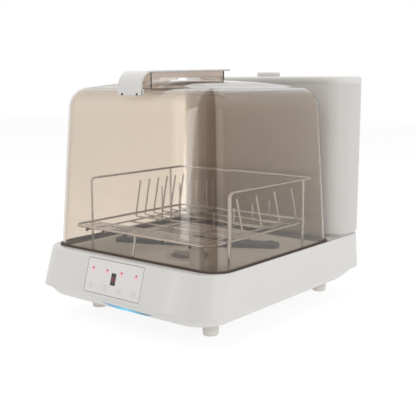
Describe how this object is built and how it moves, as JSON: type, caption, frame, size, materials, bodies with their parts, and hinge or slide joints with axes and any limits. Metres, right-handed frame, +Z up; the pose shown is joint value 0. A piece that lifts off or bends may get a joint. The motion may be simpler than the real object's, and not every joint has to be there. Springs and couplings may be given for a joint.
{
  "type": "countertop dishwasher",
  "caption": "Countertop dishwasher with a smoky lift-off hood, wire dish rack, spray arm and a water tank at the rear.",
  "frame": {"origin": "on the table, below the middle of the base", "axes": "+Z up, +Y to the rear where the water tank stands, +X to the right as seen from the front"},
  "size_m": [0.38, 0.48, 0.412],
  "materials": {
    "white_shell": "gloss white moulding",
    "tub_plastic": "satin light grey moulding",
    "smoky_clear": "clear smoky brown moulding",
    "seal_rubber": "matte black rubber",
    "bright_wire": "polished wire",
    "dark_plastic": "matte dark grey moulding",
    "panel_plastic": "gloss white plate",
    "window_plastic": "gloss black window",
    "red_light": "glowing red guide",
    "blue_light": "glowing blue lens",
    "circuit_board": "green board",
    "filter_mesh": "satin steel"
  },
  "bodies": {
    "base": {"base_housing": "white_shell", "under_tray": "white_shell", "feet": "seal_rubber", "wash_tub": "tub_plastic", "arm_hub": "dark_plastic", "water_tank": "white_shell", "tank_lid": "white_shell", "control_panel": "panel_plastic", "display_window": "window_plastic", "indicator_lights": "red_light", "touch_pads": "seal_rubber", "control_board": "circuit_board", "lamp_lens": "blue_light", "lamp_board": "circuit_board", "wash_pump": "dark_plastic", "drain_pump": "dark_plastic", "water_heater": "filter_mesh", "hoses": "seal_rubber", "drain_outlet": "dark_plastic", "fill_valve": "dark_plastic", "power_inlet": "dark_plastic", "main_board": "circuit_board"},
    "hood": {"hood_shell": "smoky_clear", "hood_seal": "seal_rubber", "hood_strap": "white_shell", "handle_channel": "smoky_clear"},
    "rack": {"rack_frame": "bright_wire", "rack_floor": "bright_wire", "rack_shelf": "bright_wire", "plate_prongs": "bright_wire", "bowl_prongs": "bright_wire", "rack_boots": "seal_rubber"},
    "arm": {"spray_arm": "dark_plastic"},
    "filter": {"filter_basket": "filter_mesh"},
    "cap": {"filler_cap": "white_shell"}
  },
  "joints": [
    {"name": "hood_lift", "type": "slide", "parent": "base", "child": "hood", "axis": [0, 0, 1], "range_m": [0, 0.3]},
    {"name": "rack_lift", "type": "slide", "parent": "base", "child": "rack", "axis": [0, 0, 1], "range_m": [0, 0.06]},
    {"name": "spray_arm_spin", "type": "hinge", "parent": "base", "child": "arm", "pos_m": [0, -0.034, 0.107], "axis": [0, 0, 1], "continuous": true},
    {"name": "filter_lift", "type": "slide", "parent": "base", "child": "filter", "axis": [0, 0, 1], "range_m": [0, 0.03]},
    {"name": "cap_lift", "type": "slide", "parent": "base", "child": "cap", "axis": [0, 0, 1], "range_m": [0, 0.04]}
  ]
}
